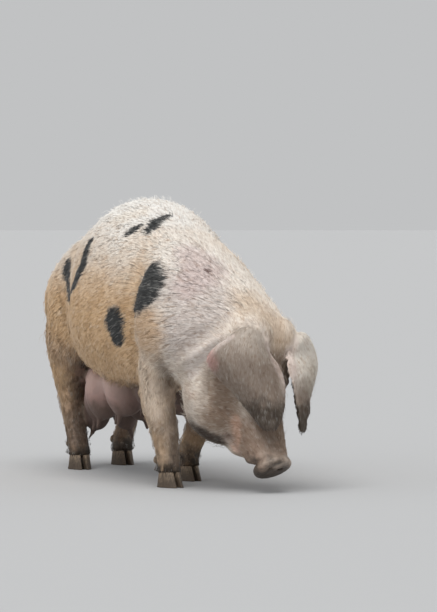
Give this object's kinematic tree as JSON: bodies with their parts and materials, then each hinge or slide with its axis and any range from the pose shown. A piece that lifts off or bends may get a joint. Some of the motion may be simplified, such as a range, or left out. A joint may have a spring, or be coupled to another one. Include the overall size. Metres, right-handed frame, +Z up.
{
  "type": "pig",
  "caption": "Life-size lop-eared spotted sow, standing with her head lowered to root, her forehand turned to her left, with udder and cloven hooves.",
  "frame": {"origin": "on the floor, in the middle of the animal's outline seen from above", "axes": "+X forward along her loin, +Y to her left, +Z up; the four soles rest on Z = 0"},
  "size_m": [1.4016, 0.5678, 0.8542],
  "materials": {
    "hide": "short cream-white coat over pink skin, with black spots",
    "bare_skin": "bare pink udder skin, matt",
    "horn": "muddy hoof horn, satin",
    "eye": "dark brown eye, wet and glossy"
  },
  "bodies": {
    "root": {"trunk": "hide", "neck": "hide", "head": "hide", "ear_left": "hide", "ear_right": "hide", "eye_left": "eye", "eye_right": "eye", "udder": "bare_skin", "tail": "hide", "foreleg_right": "hide", "foreleg_left": "hide", "hindleg_right": "hide", "hindleg_left": "hide", "claw_outer_foreleg_right": "horn", "dewclaw_outer_foreleg_right": "horn", "claw_inner_foreleg_right": "horn", "dewclaw_inner_foreleg_right": "horn", "claw_outer_foreleg_left": "horn", "dewclaw_outer_foreleg_left": "horn", "claw_inner_foreleg_left": "horn", "dewclaw_inner_foreleg_left": "horn", "claw_outer_hindleg_right": "horn", "dewclaw_outer_hindleg_right": "horn", "claw_inner_hindleg_right": "horn", "dewclaw_inner_hindleg_right": "horn", "claw_outer_hindleg_left": "horn", "dewclaw_outer_hindleg_left": "horn", "claw_inner_hindleg_left": "horn", "dewclaw_inner_hindleg_left": "horn"}
  },
  "joints": []
}
